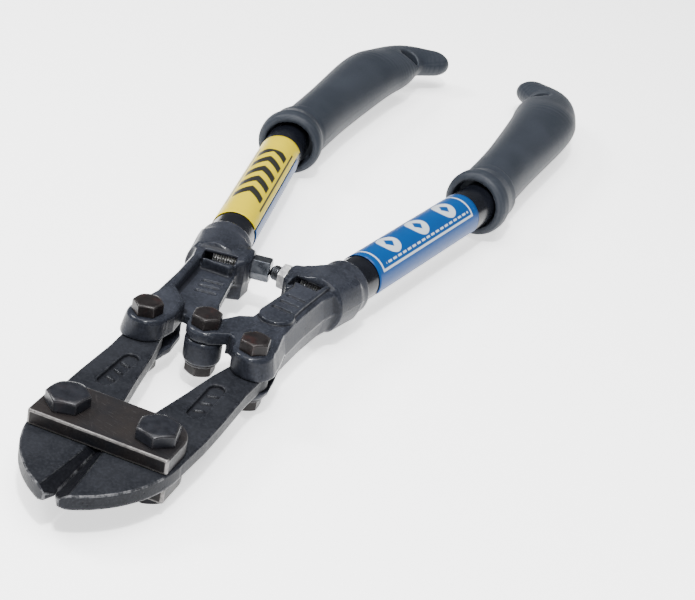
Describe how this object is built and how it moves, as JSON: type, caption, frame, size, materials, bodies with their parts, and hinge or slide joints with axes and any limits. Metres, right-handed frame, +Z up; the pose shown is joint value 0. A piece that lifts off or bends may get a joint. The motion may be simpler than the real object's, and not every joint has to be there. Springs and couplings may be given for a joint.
{
  "type": "bolt cutter",
  "caption": "Long-handled bolt cutter: two bevelled jaws between steel straps, worked by a toggle linkage of forged arms, tubular handles, hooked rubber grips and stop screws.",
  "frame": {"origin": "middle of the bounding box, on the surface the tool lies on", "axes": "+Y from the jaws to the grips, +X to the handle with the blue label, +Z up"},
  "size_m": [0.0998, 0.3738, 0.025],
  "materials": {
    "strap_steel": "heat-blackened plate with a brown bloom, edge worn bright",
    "jaw_steel": "blackened forged steel",
    "arm_casting": "semi-gloss black paint on a forging",
    "tube_paint": "gloss black paint",
    "grip_rubber": "soft dark slate",
    "label_yellow": "printed film",
    "label_blue": "printed film",
    "plated_steel": "zinc plated",
    "washer_steel": "blackened, worn",
    "bolt_black": "black oxide"
  },
  "bodies": {
    "head": {"strap_top": "strap_steel", "strap_bottom": "strap_steel", "strap_bolt_left": "bolt_black", "strap_bolt_right": "bolt_black", "strap_washer_left": "washer_steel", "strap_washer_right": "washer_steel", "strap_nut_left": "bolt_black", "strap_nut_right": "bolt_black"},
    "jaw_left_body": {"jaw_left": "jaw_steel"},
    "jaw_right_body": {"jaw_right": "jaw_steel"},
    "handle_left": {"arm_left": "arm_casting", "tube_left": "tube_paint", "grip_left": "grip_rubber", "label_left": "label_yellow", "note_left": "label_blue", "tail_bolt_left": "bolt_black", "tail_washer_left": "washer_steel", "tail_nut_left": "bolt_black", "center_bolt": "bolt_black", "center_washer": "washer_steel", "center_nut": "bolt_black", "stop_screw": "plated_steel"},
    "handle_right": {"arm_right": "arm_casting", "tube_right": "tube_paint", "grip_right": "grip_rubber", "label_right": "label_blue", "tail_bolt_right": "bolt_black", "tail_washer_right": "washer_steel", "tail_nut_right": "bolt_black", "lock_nut": "plated_steel"},
    "stop_adjuster": {"stop_stud": "plated_steel"}
  },
  "joints": [
    {"name": "handle_swing", "type": "hinge", "parent": "jaw_left_body", "child": "handle_left", "pos_m": [-0.0169, -0.10425, 0.0111], "axis": [0, 0, 1], "range_deg": [0, 40]},
    {"name": "handle_right_swing", "type": "hinge", "parent": "jaw_right_body", "child": "handle_right", "pos_m": [0.0169, -0.10425, 0.0111], "axis": [0, 0, -1], "range_deg": [0, 40]},
    {"name": "jaw_left_open", "type": "hinge", "parent": "head", "child": "jaw_left_body", "pos_m": [-0.0131, -0.15665, 0.0111], "axis": [0, 0, -1], "range_deg": [0, 5.3]},
    {"name": "jaw_right_open", "type": "hinge", "parent": "head", "child": "jaw_right_body", "pos_m": [0.0131, -0.15665, 0.0111], "axis": [0, 0, 1], "range_deg": [0, 5.3]},
    {"name": "stop_adjust", "type": "slide", "parent": "handle_right", "child": "stop_adjuster", "axis": [0.984, -0.1779, 0], "range_m": [0, 0.002]}
  ],
  "couplings": [
    {"joint": "handle_right_swing", "follows": "handle_swing", "ratio": 1},
    {"joint": "jaw_left_open", "follows": "handle_swing", "ratio": 0.1322},
    {"joint": "jaw_right_open", "follows": "handle_swing", "ratio": 0.1322}
  ]
}
